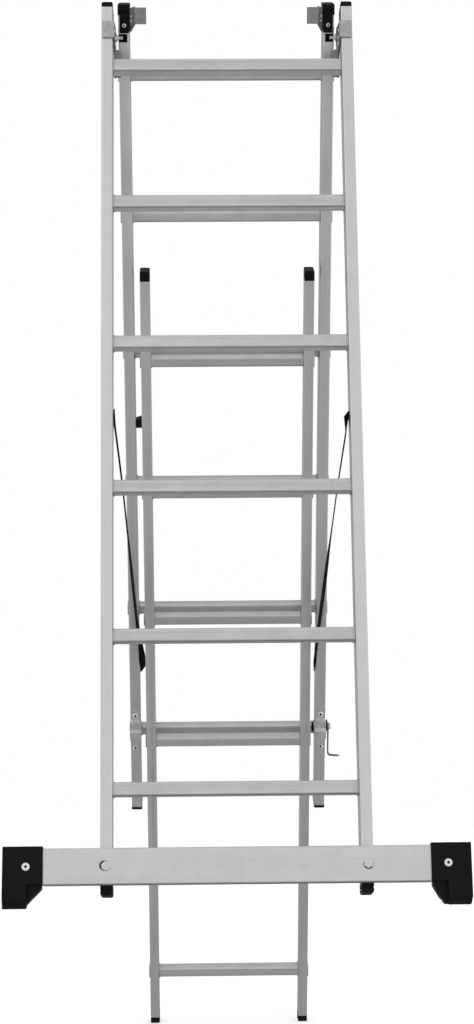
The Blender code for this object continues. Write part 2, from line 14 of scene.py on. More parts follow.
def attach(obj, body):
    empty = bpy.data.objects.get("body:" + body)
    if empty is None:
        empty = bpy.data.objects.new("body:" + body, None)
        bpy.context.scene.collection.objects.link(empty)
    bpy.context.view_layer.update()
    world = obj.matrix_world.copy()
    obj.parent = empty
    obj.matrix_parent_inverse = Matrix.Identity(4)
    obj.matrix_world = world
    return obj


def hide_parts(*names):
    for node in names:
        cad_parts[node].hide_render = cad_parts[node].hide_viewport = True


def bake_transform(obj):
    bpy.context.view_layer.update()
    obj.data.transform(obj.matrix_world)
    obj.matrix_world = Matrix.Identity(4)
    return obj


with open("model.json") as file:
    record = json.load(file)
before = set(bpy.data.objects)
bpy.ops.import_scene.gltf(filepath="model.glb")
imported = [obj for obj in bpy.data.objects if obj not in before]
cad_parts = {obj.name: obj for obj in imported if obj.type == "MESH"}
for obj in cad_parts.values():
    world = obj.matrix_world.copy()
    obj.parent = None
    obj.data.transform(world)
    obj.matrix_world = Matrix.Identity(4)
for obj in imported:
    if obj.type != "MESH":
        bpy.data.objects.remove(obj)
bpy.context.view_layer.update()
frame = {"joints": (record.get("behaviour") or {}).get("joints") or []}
scene = bpy.context.scene
SIDES = (("left", -1), ("right", 1))

# ---- frames of the sections, as in the CAD ----
FRONT_LEAN, REAR_LEAN = math.radians(12.6), math.radians(18.6)
PIN_IN_FRONT, PIN_IN_MIDDLE = Vector((0, .0930, .0945)), Vector((0, .0070, .0750))
joint = {j["name"]: j for j in frame["joints"]}
HINGE = Vector(joint["leg_hinge"]["pos_m"])


def section_frame(lean, pin):
    return Matrix.Translation(HINGE) @ Matrix.Rotation(lean, 4, "X") @ Matrix.Translation(-pin)


MIDDLE_PLACE = section_frame(REAR_LEAN, PIN_IN_MIDDLE)
FRONT = dict(name="front", body="front_section", place=section_frame(-FRONT_LEAN, PIN_IN_FRONT),
             width=.483, face=.0215, depth=.056, top=.1133, bottom=-1.5722, rung=.0250)
MIDDLE = dict(name="middle", body="middle_section", place=MIDDLE_PLACE,
              width=.424, face=.022, depth=.056, top=.1187, bottom=-1.5735, rung=.0215)
LOWER = dict(name="lower", body="lower_section", place=MIDDLE_PLACE @ Matrix.Translation((0, -.042, -.5695)),
             width=.353, face=.020, depth=.050, top=.1700, bottom=-1.5043, rung=.0215)
LATCH_Y, LATCH_Z = .0080, -1.3890
LEVER = dict(name="latch", body="latch_lever", place=MIDDLE_PLACE @ Matrix.Translation((0, LATCH_Y, LATCH_Z)))
PITCH, RUNGS, GAP = .280, 6, .0003


# ---- materials ----
class Nodes:
    """Small helper that adds nodes to one material and links them."""

    def __init__(self, name):
        self.material = bpy.data.materials.new(name)
        self.material.use_nodes = True
        self.tree = self.material.node_tree
        self.shader = self.tree.nodes["Principled BSDF"]

    def add(self, kind, links=(), **settings):
        """New node: links maps a socket to its source, in_Name sets an input, the rest are attributes."""
        made = self.tree.nodes.new(kind)
        for key, value in settings.items():
            if key.startswith("in_"):
                made.inputs[key[3:].replace("_", " ")].default_value = value
            else:
                setattr(made, key, value)
        for socket, source in dict(links).items():
            self.link(source, made.inputs[socket])
        return made

    def link(self, source, target):
        self.tree.links.new(source if hasattr(source, "is_output") else source.outputs[0], target)

    def coordinates(self, scale=(1, 1, 1)):
        """The object's own coordinates, scaled."""
        source = self.add("ShaderNodeTexCoord").outputs["Object"]
        return self.add("ShaderNodeMapping", {"Vector": source}, in_Scale=scale)

    def noise(self, vector, scale, detail=3.0, roughness=.5):
        return self.add("ShaderNodeTexNoise", {"Vector": vector}, in_Scale=scale, in_Detail=detail,
                        in_Roughness=roughness).outputs["Fac"]

    def ranged(self, value, low, high, start=0.0, end=1.0):
        """Value mapped from start..end to low..high."""
        return self.add("ShaderNodeMapRange", {"Value": value}, in_From_Min=start, in_From_Max=end, in_To_Min=low,
                        in_To_Max=high)

    def mixed(self, fac, one, other):
        """Colour that goes from one to other as fac goes from 0 to 1; each is a link or a value."""
        made = self.add("ShaderNodeMix", data_type="RGBA", blend_type="MIX")
        for socket, value in ((made.inputs[0], fac), (made.inputs[6], one), (made.inputs[7], other)):
            if isinstance(value, (int, float)):
                socket.default_value = value
            elif isinstance(value, tuple):
                socket.default_value = (*value, 1.0)
            else:
                self.link(value, socket)
        return made.outputs[2]

    def bump(self, height, strength, distance, under=None):
        made = self.add("ShaderNodeBump", {"Height": height}, in_Strength=strength, in_Distance=distance)
        if under is not None:
            self.link(under, made.inputs["Normal"])
        return made

    def finish(self, colour, roughness, normal=None, metallic=0.0, **uniform):
        self.shader.inputs["Metallic"].default_value = metallic
        for socket, value in (("Base Color", colour), ("Roughness", roughness), ("Normal", normal)):
            if isinstance(value, (int, float)):
                self.shader.inputs[socket].default_value = value
            elif value is not None:
                self.link(value, self.shader.inputs[socket])
        for key, value in uniform.items():
            self.shader.inputs[key.replace("_", " ")].default_value = value
        return self.material


def shade(tint, factor):
    """The tint made darker or lighter."""
    return tuple(min(1.0, c * factor) for c in tint)


def stretched(along, low, high):
    """Scale of a texture drawn out along one axis."""
    return tuple(low if axis == along else high for axis in range(3))


def aluminium(name, along, tint=(.80, .81, .82), rough=.40, wear=1.0):
    """Extruded, mill-finished aluminium: die lines along one axis, a dull mottle and a few rubbed marks."""
    n = Nodes(name)
    lines = n.noise(n.coordinates(stretched(along, 2.0, 900.0)), 1.0, 2.0)
    bands = n.noise(n.coordinates(stretched(along, .7, 170.0)), 1.0, 2.0)
    mottle = n.noise(n.coordinates(), 26.0, 5.0, .6)
    grain = n.noise(n.coordinates(), 1500.0, 2.0)
    marks = n.noise(n.coordinates(stretched(along, 9.0, 55.0)), 1.0, 6.0, .7)
    colour = n.mixed(n.ranged(bands, 0, 1, .35, .65), shade(tint, 1 - .045 * wear), shade(tint, 1.03))
    colour = n.mixed(n.ranged(mottle, 0, .50, .35, .72), colour, shade(tint, 1 - .10 * wear))
    colour = n.mixed(n.ranged(marks, 0, .30 * wear, .66, .78), colour, shade(tint, .66))
    colour = n.mixed(n.ranged(grain, 0, .20, .3, .7), colour, shade(tint, .70))
    roughness = n.add("ShaderNodeMath", {0: n.ranged(bands, rough - .05, rough + .06, .3, .7),
                                         1: n.ranged(mottle, -.04, .07, .3, .7)}, operation="ADD")
    bump = n.bump(lines, .14, .0002)
    bump = n.bump(bands, .03 * wear, .0004, bump)
    bump = n.bump(grain, .05, .0001, bump)
    return n.finish(colour, roughness, bump, metallic=1.0)


def galvanised(name, level):
    """Dull galvanised pressing: spangle of small crystals, white bloom and a grainy skin."""
    n = Nodes(name)
    tint = (level * .985, level, level * 1.01)
    where = n.coordinates()
    crystals = n.add("ShaderNodeTexVoronoi", {"Vector": where}, in_Scale=420.0, in_Randomness=1.0)
    spangle = n.add("ShaderNodeSeparateColor", {"Color": crystals.outputs["Color"]}).outputs[0]
    cloud = n.noise(where, 60.0, 5.0, .65)
    grain = n.noise(where, 1100.0, 3.0, .6)
    colour = n.mixed(n.ranged(spangle, 0, 1), shade(tint, .62), shade(tint, 1.24))
    colour = n.mixed(n.ranged(cloud, 0, .5, .4, .7), colour, shade(tint, .70))
    colour = n.mixed(n.ranged(grain, 0, .7, .35, .7), colour, shade(tint, 1.32))
    bump = n.bump(spangle, .05, .0002, n.bump(grain, .30, .0002))
    return n.finish(colour, n.ranged(spangle, .42, .62), bump, metallic=1.0)


def zinc(name, tint=(.95, .95, .94), rough=.28, metallic=.50):
    """Zinc plate on screws, rivets, pins and bolts."""
    n = Nodes(name)
    where = n.coordinates()
    cloud = n.noise(where, 240.0, 4.0, .6)
    grain = n.noise(where, 1600.0, 2.0)
    colour = n.mixed(n.ranged(cloud, 0, 1, .3, .7), shade(tint, .86), tint)
    roughness = n.ranged(cloud, rough - .05, rough + .10, .3, .7)
    return n.finish(colour, roughness, n.bump(grain, .12, .0001), metallic=metallic)


def moulded(name, tint=(.0045, .0045, .0050), rough=.44):
    """Injection-moulded plastic with a fine spark-eroded texture and slight flow marks."""
    n = Nodes(name)
    where = n.coordinates()
    grain = n.noise(where, 1300.0, 2.0, .6)
    flow = n.noise(n.coordinates((1, 1, .25)), 34.0, 4.0, .55)
    scuff = n.noise(n.coordinates((3, 3, 1)), 70.0, 6.0, .75)
    colour = n.mixed(n.ranged(flow, 0, 1, .3, .7), shade(tint, .75), shade(tint, 1.35))
    colour = n.mixed(n.ranged(scuff, 0, .22, .60, .80), colour, (.022, .022, .023))
    roughness = n.ranged(flow, rough - .05, rough + .08, .3, .7)
    return n.finish(colour, roughness, n.bump(grain, .22, .00015), Specular_IOR_Level=.13)


def webbing(name):
    """Woven webbing: ribs across the width, laid out with the strap's own UV in millimetres."""
    n = Nodes(name)
    uv = n.add("ShaderNodeTexCoord").outputs["UV"]

    def wave(scale, direction, distortion):
        where = n.add("ShaderNodeMapping", {"Vector": uv}, in_Scale=scale)
        return n.add("ShaderNodeTexWave", {"Vector": where}, wave_type="BANDS", bands_direction=direction,
                     in_Scale=1.0, in_Distortion=distortion)

    ribs, threads = wave((0, .38, 0), "Y", .0), wave((.50, .19, 0), "DIAGONAL", .4)
    fuzz = n.noise(n.coordinates(), 900.0, 3.0, .7)
    both = n.add("ShaderNodeMath", {0: ribs.outputs["Fac"], 1: threads.outputs["Fac"]}, operation="MULTIPLY")
    colour = n.mixed(both, (.0012, .0012, .0014), (.0050, .0050, .0053))
    colour = n.mixed(n.ranged(fuzz, 0, .4, .45, .75), colour, (.0080, .0078, .0078))
    bump = n.bump(fuzz, .25, .0002, n.bump(both, .7, .0004))
    return n.finish(colour, .82, bump, Sheen_Weight=.02, Sheen_Roughness=.5, Specular_IOR_Level=.07)


def painted_shade_material(name):
    """Painted shade: dark colour for the bottom of screw recesses and of open holes."""
    n = Nodes(name)
    grain = n.noise(n.coordinates(), 900.0, 2.0)
    colour = n.mixed(grain, (.006, .006, .006), (.016, .015, .014))
    return n.finish(colour, .7, n.bump(grain, .2, .0001), Specular_IOR_Level=.2)


FINISH = {
    "rail": (aluminium("aluminium_rail", 2, rough=.35), "aluminium"),
    "rung": (aluminium("aluminium_rung", 0, (.78, .79, .80), .35, 2.2), "aluminium"),
    "bar": (aluminium("aluminium_bar", 0, (.81, .82, .83), .42, 1.3), "aluminium"),
    "steel": (galvanised("galvanised_steel_hinge", .50), "galvanised_steel"),
    # painted shade: a darker copy of the galvanised steel, for the guide and for the shaded faces of the hinge plates
    "guide": (galvanised("galvanised_steel_guide_painted_shade", .36), "galvanised_steel"),
    "strip": (galvanised("galvanised_steel_strip", .66), "galvanised_steel"),
    # painted shade: the lever's steel is darkened, as the lever stands in shade
    "lever": (galvanised("galvanised_steel_lever_painted_shade", .30), "galvanised_steel"),
    "zinc": (zinc("zinc_plated"), "zinc_plate"),
    "pin": (zinc("zinc_plated_bright", (.97, .97, .96), .26, .22), "zinc_plate"),
    "bolt": (zinc("zinc_plated_dull", (.82, .83, .84), .38, 1.0), "zinc_plate"),
    "plastic": (moulded("black_plastic_moulding"), "black_plastic"),
    "webbing": (webbing("black_webbing_weave"), "black_webbing"),
}
# painted shade for the bottoms of recesses
RECESS_SHADE = painted_shade_material("painted_recess_shade")


# ---- mesh helpers ----
def fillet(points, radius, steps=5):
    """Closed outline with its corners rounded; radius is one number or one for each corner."""
    count = len(points)
    radii = radius if isinstance(radius, (list, tuple)) else [radius] * count
    made = []
    for i, (here, r) in enumerate(zip(points, radii)):
        p, a, b = Vector(here), Vector(points[i - 1]), Vector(points[(i + 1) % count])
        to_a, to_b = (a - p), (b - p)
        half = to_a.angle(to_b, math.pi) / 2
        if r < 1e-5 or half > math.radians(88) or half < math.radians(2):
            made.append(tuple(p))
            continue
        cut = min(r / math.tan(half), .49 * to_a.length, .49 * to_b.length)
        r = cut * math.tan(half)
        centre = p + (to_a.normalized() + to_b.normalized()).normalized() * (r / math.sin(half))
        start, end = p + to_a.normalized() * cut - centre, p + to_b.normalized() * cut - centre
        for k in range(steps + 1):
            ray = start.to_3d().normalized().slerp(end.to_3d().normalized(), k / steps).to_2d()
            made.append(tuple(centre + ray * r))
    return made


def rounded(width, height, radius, steps=5):
    """Rectangle about the origin with rounded corners."""
    w, h = width / 2, height / 2
    return fillet([(w, -h), (w, h), (-w, h), (-w, -h)], radius, steps)


# point from a pair of coordinates across an axis and one along it
ALONG = {"X": lambda a, b, t: (t, a, b), "Y": lambda a, b, t: (a, t, b), "Z": lambda a, b, t: (a, b, t)}


def skin(rings, hollow=False):
    """Mesh through rings of points, closed at its ends; hollow joins the last ring back to the first instead."""
    edit = bmesh.new()
    rows = [[edit.verts.new(p) for p in ring] for ring in rings]
    count = len(rows[0])
    for one, other in zip(rows, rows[1:] + ([rows[0]] if hollow else [])):
        for i in range(count):
            j = (i + 1) % count
            edit.faces.new((one[i], one[j], other[j], other[i]))
    if not hollow:
        edit.faces.new(list(reversed(rows[0])))
        edit.faces.new(rows[-1])
    bmesh.ops.recalc_face_normals(edit, faces=edit.faces)
    mesh = bpy.data.meshes.new("skin")
    edit.to_mesh(mesh)
    edit.free()
    return mesh


def prism(outline, axis, low, high):
    """Outline pulled along an axis from low to high."""
    return skin([[ALONG[axis](a, b, t) for a, b in outline] for t in (low, high)])


def block(low, high):
    """Box between two corners."""
    (x0, y0, z0), (x1, y1, z1) = low, high
    return prism([(x0, y0), (x1, y0), (x1, y1), (x0, y1)], "Z", z0, z1)


def turned(profile, axis="X", at=(0, 0, 0), steps=32, sides=None):
    """Profile of (radius, distance) turned round an axis; sides gives a faceted head, such as a hexagon."""
    rings = []
    for radius, distance in profile:
        ring = []
        for k in range(steps):
            angle = 2 * math.pi * k / steps
            r = max(radius, 1e-5)
            if sides:
                part = math.pi / sides
                r *= math.cos(part) / math.cos((angle % (2 * part)) - part)
            ring.append(Vector(ALONG[axis](r * math.cos(angle), r * math.sin(angle), distance)) + Vector(at))
        rings.append(ring)
    return skin(rings)


def flipped(mesh, sign):
    """The mesh, mirrored in X for the left-hand side."""
    if sign < 0:
        mesh.transform(Matrix.Scale(-1, 4, (1, 0, 0)))
        mesh.flip_normals()
    return mesh


def joined(*meshes):
    """Several shells in one mesh."""
    edit = bmesh.new()
    for mesh in meshes:
        edit.from_mesh(mesh)
    made = bpy.data.meshes.new("joined")
    edit.to_mesh(made)
    edit.free()
    return made


def cut(mesh, tools, operation="DIFFERENCE", paint=None):
    """Boolean of a mesh with others, done at once. Faces left by the tools take the paint material."""
    target = bpy.data.objects.new("target", mesh)
    scene.collection.objects.link(target)
    helpers = []
    for tool in tools:
        helper = bpy.data.objects.new("tool", tool)
        scene.collection.objects.link(helper)
        modifier = target.modifiers.new("cut", "BOOLEAN")
        modifier.operation, modifier.solver, modifier.object = operation, "EXACT", helper
        if paint:
            tool.materials.clear()
            tool.materials.append(paint)
            modifier.material_mode = "TRANSFER"
        helpers.append(helper)
    bpy.context.view_layer.update()
    evaluated = target.evaluated_get(bpy.context.evaluated_depsgraph_get())
    made = bpy.data.meshes.new_from_object(evaluated)
    for o in [target, *helpers]:
        bpy.data.objects.remove(o, do_unlink=True)
    return made


def piece(name, mesh, section, finish, stands_for=None, bevel=0.0, segments=3, angle=35, painted=False):
    """Named piece that rides on its section's body, with its finish and its rounded edges.

    A painted mesh keeps the materials that it has. stands_for is the CAD node that the piece replaces.
    """
    mesh.name = name
    made = bpy.data.objects.new(name, mesh)
    scene.collection.objects.link(made)
    if finish == "plastic":     # it has no grain direction, so its mesh lies square to the world, in a tight box
        mesh.transform(section["place"])
    else:
        made.matrix_world = section["place"]
    material, slot = FINISH[finish]
    if not painted:
        mesh.materials.clear()
        mesh.materials.append(material)
    mesh.shade_smooth()
    if bevel:
        modifier = made.modifiers.new("edges", "BEVEL")
        modifier.width, modifier.segments, modifier.limit_method = bevel, segments, "ANGLE"
        modifier.angle_limit = math.radians(angle)
        modifier.harden_normals = True
        modifier.use_clamp_overlap = True
    else:
        mesh.set_sharp_from_angle(angle=math.radians(angle))
    weighted = made.modifiers.new("shading", "WEIGHTED_NORMAL")
    weighted.keep_sharp = True
    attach(made, section["body"])
    if stands_for:
        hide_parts(stands_for)


# ---- rungs ----
RUNG_DEEP, RUNG_TOP = .027, .0125


def grooves(half, reach, pitch, deep, wide):
    """Points along one side, from -half to +half, with shallow flat-bottomed grooves about its middle."""
    points, centre = [(-half, 0.0)], -reach
    while centre < reach + pitch / 4:
        points += [(centre - wide / 2, 0), (centre - wide / 4, -deep),
                   (centre + wide / 4, -deep), (centre + wide / 2, 0)]
        centre += pitch
    return points + [(half, 0.0)]


def rung_outline(high, grow, relief=1.0, corner=.0040):
    """Section of a rung as (y, z): treads ribbed on top, fine grooves on the faces."""
    w, h = RUNG_DEEP / 2 + grow, high / 2 + grow
    r = corner + .5 * grow
    top = grooves(w - r, .0080, .0027, .00065 * relief, .0015)
    face = grooves(h - r, (high - .0124) / 2, (high - .0124) / 5, .00032 * relief, .0010)
    outline = [(a, h + d) for a, d in reversed(top)]

    def corner_arc(cy, cz, start):
        turns = [math.radians(start + 90 * k / 5) for k in range(1, 5)]
        return [(cy + r * math.cos(turn), cz + r * math.sin(turn)) for turn in turns]

    outline += corner_arc(-w + r, h - r, 90)
    outline += [(-w - d, -a) for a, d in face]
    outline += corner_arc(-w + r, -h + r, 180)
    outline += [(a, -h - d) for a, d in top]
    outline += corner_arc(w - r, -h + r, 270)
    outline += [(w + d, a) for a, d in face]
    outline += corner_arc(w - r, h - r, 0)
    return outline


def rung_mesh(section, outside):
    """Hollow rung with a swaged ring inside each rail, and one outside where its end is flared over the rail."""
    half, high = section["width"] / 2, section["rung"]
    inside = half - section["face"]
    swage = [(.0002, .0), (.0003, .0011), (.0009, .0018), (.0016, .0017), (.0023, .0009), (.0031, .0001), (.0045, .0)]
    flare = [(.0022, .0007), (.0019, .0015), (.0010, .0018), (.0002, .0011)]
    if outside:
        stations = [(half + GAP + a, g) for a, g in flare] + [(half + .0001, -.0001)]
    else:
        stations = [(half - GAP, .0)]
    stations += [(inside - a, g - (.0001 if a < .00025 else 0)) for a, g in swage]
    stations += [(-x, g) for x, g in reversed(stations)]
    rings = [[(x, y, z) for y, z in rung_outline(high, g, 1.0 if g < .0005 else .45)] for x, g in stations]
    right, left, mouth, inner = stations[0][0], stations[-1][0], .0040, .90
    hollow = [[(x, y * inner, z * inner) for y, z in rung_outline(high, .0, 0.0)]
              for x in (left, left + mouth, right - mouth, right)]
    return skin(rings + hollow, hollow=True)


def rung_height(section, number):
    """Height of a rung's axis; the treads, not the axes, are level with the CAD's pitch lines."""
    return RUNG_TOP - section["rung"] / 2 - PITCH * (number - 1)


def rungs(section, outside=True):
    name = section["name"]
    for number in range(1, RUNGS + 1):
        mesh = rung_mesh(section, outside)
        mesh.transform(Matrix.Translation((0, section["depth"] / 2, rung_height(section, number))))
        piece(f"rung_{name}_{number}", mesh, section, "rung", f"{name}_rung_{number}", angle=24)


# ---- rails ----
RAIL_WALL, RAIL_CORNER = .0015, .0021


def rail_centre(section):
    """Middle of the right-hand rail's section."""
    return (section["width"] - section["face"]) / 2, section["depth"] / 2


def rail(section, side, sign, tools=()):
    """Box-section rail with a hole for each rung; tools are further cutters."""
    name, top, bottom = section["name"], section["top"], section["bottom"]
    wide, deep = section["face"], section["depth"]
    x, y = rail_centre(section)
    outer = [(a + x, b + y) for a, b in rounded(wide, deep, RAIL_CORNER)]
    inner = [(a + x, b + y) for a, b in rounded(wide - 2 * RAIL_WALL, deep - 2 * RAIL_WALL, .0008)]
    rings = ((outer, bottom), (outer, top), (inner, top), (inner, bottom))
    mesh = skin([[(a, b, z) for a, b in ring] for ring, z in rings], hollow=True)
    hole = rung_outline(section["rung"], GAP, 0.0)
    holes = [prism([(a + y, b + rung_height(section, number)) for a, b in hole], "X", x - wide, x + wide)
             for number in range(1, RUNGS + 1)]
    mesh = cut(mesh, [joined(*holes, *tools)])
    piece(f"rail_{name}_{side}", flipped(mesh, sign), section, "rail", f"{name}_rail_{side}", angle=28)


# ---- caps and feet ----
def stacked(levels, centre, width, depth):
    """Moulding of rounded rectangles: each level is (z, growth, extra corner radius)."""
    rings = []
    for z, grow, more in levels:
        shape = rounded(width + 2 * grow, depth + 2 * grow, max(.0004, RAIL_CORNER + more))
        rings.append([(a + centre[0], b + centre[1], z) for a, b in shape])
    return skin(rings)


def plugged(section, z, levels):
    """Moulding with a plug inside a rail's end at height z, then levels of (distance from z, growth, corner)."""
    plug = [(z + .004 if levels[-1][0] < 0 else z - .004, -RAIL_CORNER, 0), (z, -RAIL_CORNER, 0)]
    levels = plug + [(z + a, grow, more) for a, grow, more in levels]
    return stacked(levels, rail_centre(section), section["face"], section["depth"])


def top_cap(section, height, line, more=.0):
    """Cap on a rail's top: a collar, a fine groove at line and a crowned head, standing out by more all round."""
    top = section["top"] + GAP
    return plugged(section, top, [
        (0, more - .0002, 0), (.0003, more + .0001, 0), (line - .0005, more + .0001, 0),
        (line - .0002, more - .0003, 0), (line + .0002, more - .0003, 0), (line + .0005, more, 0),
        (height - .0024, more, 0), (height - .0012, more - .0004, .0006), (height - .0004, more - .0013, .0010),
        (height, more - .0026, .0014)])


def plain_cap(section, side, sign, height, line):
    """Top cap with nothing but its own moulding."""
    name, mesh = section["name"], top_cap(section, height, line)
    piece(f"cap_{name}_{side}", flipped(mesh, sign), section, "plastic", f"{name}_top_cap_{side}", angle=32)


def foot(section, side, sign, levels, tread):
    """Foot in a rail's lower end, with a tread of this depth cut across its sole."""
    name, bottom, x = section["name"], section["bottom"] - GAP, rail_centre(section)[0]
    sole, count, half = bottom + levels[-1][0], 5, .0012
    middles = [section["depth"] / (count + 1) * (k + 1) for k in range(count)]
    tools = [block((x - .02, y - half, sole - .004), (x + .02, y + half, sole + tread)) for y in middles]
    mesh = cut(plugged(section, bottom, levels), [joined(*tools)])
    piece(f"foot_{name}_{side}", flipped(mesh, sign), section, "plastic", f"{name}_foot_{side}", angle=32)


def screw(axis_at, radius, height, section, name, stands_for=None, recess=.42):
    """Pan-head screw on a front face, with a cross recess whose bottom has painted shade."""
    x, y, z = axis_at
    r, h = radius, height
    profile = [(r * .55, .0), (r * .93, .0), (r, -.12 * h), (r * .985, -.42 * h), (r * .86, -.74 * h),
               (r * .62, -.93 * h), (r * .30, -h), (.0, -h)]
    head = turned(profile, "Y", (x, y, z), 40)
    head.materials.append(FINISH["zinc"][0])
    wide, long = r * .20, r * recess * 1.15
    for tool in (block((x - long, y - h * 1.3, z - wide), (x + long, y - h * .35, z + wide)),
                 block((x - wide, y - h * 1.3, z - long), (x + wide, y - h * .35, z + long)),
                 turned([(r * recess * .62, -h * .30), (r * recess * .85, -h * 1.3)], "Y", (x, y, z), 20)):
        # the faces that the recess leaves take the painted shade
        head = cut(head, [tool], paint=RECESS_SHADE)
    piece(name, head, section, "zinc", stands_for, angle=30, painted=True)


def rivet(at, axis, outward, radius, section, name):
    """Blind rivet: a low dome with the mandrel's hole in its middle."""
    r = radius
    profile = [(r, .0), (r, .12 * r), (r * .90, .32 * r), (r * .66, .46 * r), (r * .42, .50 * r), (r * .36, .42 * r),
               (r * .34, .20 * r), (.0, .20 * r)]
    piece(name, turned([(a, outward * b) for a, b in profile], axis, at, 28), section, "zinc", angle=40)


# ---- front section ----
BAR_TOP, BAR_HIGH, BAR_DEEP, BAR_HALF, BAR_WALL = -1.5095, .064, .030, .3405, .002
BAR_MID = BAR_TOP - BAR_HIGH / 2
BOLT_X, FOOT_SCREW_X = .2303, .3705
FOOT_FRONT = -GAP - BAR_DEEP - .0030
PLATE = .003
INNER_FACE = FRONT["width"] / 2 - FRONT["face"]
PLATE_OUT = INNER_FACE - GAP
PLATE_IN = PLATE_OUT - PLATE


def hinge_bracket(side, sign):
    """Steel plate beside the rail with a tab bent round its face and a flange bent in behind it."""
    front, back, low, high = -GAP - PLATE, .0855, .0478, .0822
    outline = fillet([(front, low), (front, high), (.040, .0945), (.086, .1110), (.1075, .1020), (.1070, .0860),
                      (.0890, .0660), (back, .0600), (back, .0040), (.0740, .0040), (.0600, .0400)],
                     [.0008, .0008, .030, .012, .010, .010, .006, .004, .0012, .003, .020], 7)
    mesh = prism(outline, "X", PLATE_IN, PLATE_OUT)
    root, tip = PLATE_OUT - .0008, INNER_FACE + .0197
    tab = prism(fillet([(root, front), (tip, front), (tip, -GAP), (root, -GAP)], [0, .0010, .0006, 0]), "Z", low, high)
    root, tip = PLATE_OUT - PLATE * .6, .2070
    flange = prism(fillet([(root, .0060), (root, .0655), (tip + .0040, .0630), (tip, .0560), (tip, .0060)],
                          [0, 0, .003, .004, .0015]), "Y", back - PLATE, back - .0001)
    for bent in (tab, flange):
        mesh = cut(mesh, [bent], "UNION")
    bore = turned([(.0042, -.010), (.0042, .010)], "X", (PLATE_OUT, PIN_IN_FRONT.y, PIN_IN_FRONT.z), 28)
    mesh = cut(mesh, [bore])
    mesh.materials.clear()
    for finish in ("guide", "steel"):
        mesh.materials.append(FINISH[finish][0])
    for face in mesh.polygons:      # painted light and shade: the tab and the edges in front take the lighter copy of the steel, the rest takes the darker copy
        ahead = face.center.y < .0 and abs(face.normal.x) < .9 and face.normal.z > -.9
        face.material_index = int(ahead)
    piece(f"hinge_plate_{side}", flipped(mesh, sign), FRONT, "steel", f"hinge_bracket_{side}", bevel=.0006, segments=2,
          painted=True)
    for number, (y, z) in enumerate(((.0140, .0700), (.0420, .0680), (.0420, .0560)), start=1):
        rivet((sign * PLATE_IN, y, z), "X", -sign, .0034, FRONT, f"hinge_rivet_{side}_{number}")


def hinge_pin(side, sign):
    """Stepped pin: a rounded end in the middle rail, a collar between the sections and a riveted head outside."""
    shaft, washer, seat = .0038, MIDDLE["width"] / 2 + 2 * GAP, PLATE_IN - GAP
    profile = [(.0, .2030), (.0028, .2030), (shaft, .2042), (shaft, washer), (.0056, washer), (.0060, washer + .0003),
               (.0060, washer + .0014), (.0070, washer + .0016), (.0070, seat - .0003), (.0066, seat), (shaft, seat),
               (shaft, INNER_FACE + .0003), (.0062, INNER_FACE + .0003), (.0060, INNER_FACE + .0011),
               (.0042, INNER_FACE + .0021), (.0, INNER_FACE + .0024)]
    mesh = turned([(r, sign * x) for r, x in profile], "X", PIN_IN_FRONT, 36)
    piece(f"hinge_pin_turned_{side}", mesh, FRONT, "pin", f"hinge_pin_{side}", angle=30)


def stabiliser():
    """Box-section bar across the front rails, with its bolts and feet."""
    outer, inner = [[[(x, a - GAP - BAR_DEEP / 2, b + BAR_MID) for a, b in shape] for x in (-BAR_HALF, BAR_HALF)]
                    for shape in (rounded(BAR_DEEP, BAR_HIGH, .0030, 6),
                                  rounded(BAR_DEEP - 2 * BAR_WALL, BAR_HIGH - 2 * BAR_WALL, .0012, 6))]
    mesh = skin([outer[0], outer[1], inner[1], inner[0]], hollow=True)
    holes = [turned([(r, -.045), (r, -.020)], "Y", (x, 0, z), 40)     # a little off the bolts' axes
             for r, x, z in ((.0090, -BOLT_X - .0030, BAR_MID + .0008), (.0089, BOLT_X - .0002, BAR_MID - .0010))]
    piece("stabiliser_tube", cut(mesh, holes), FRONT, "bar", "stabiliser_bar", angle=28)
    for side, sign in SIDES:
        stabiliser_bolt(side, sign)
        stabiliser_foot(side, sign)


def stabiliser_bolt(side, sign):
    """Hexagon bolt through the bar into the rail."""
    x, front, back = sign * BOLT_X, FOOT_FRONT, FOOT_FRONT + .0070
    profile = [(.0, front), (.0066, front), (.0078, front + .0001), (.0090, front + .0009), (.0090, back), (.0, back)]
    head = turned(profile, "Y", (x, 0, BAR_MID), 48, sides=6)
    turn = Matrix.Rotation(math.radians(24 + 8 * sign), 4, "Y")
    head.transform(Matrix.Translation((x, 0, BAR_MID)) @ turn @ Matrix.Translation((-x, 0, -BAR_MID)))
    shaft = turned([(.0040, front + .006), (.0040, .010)], "Y", (x, 0, BAR_MID), 20)
    piece(f"stabiliser_bolt_hex_{side}", joined(head, shaft), FRONT, "bolt", f"stabiliser_bolt_{side}", bevel=.0003,
          segments=2)


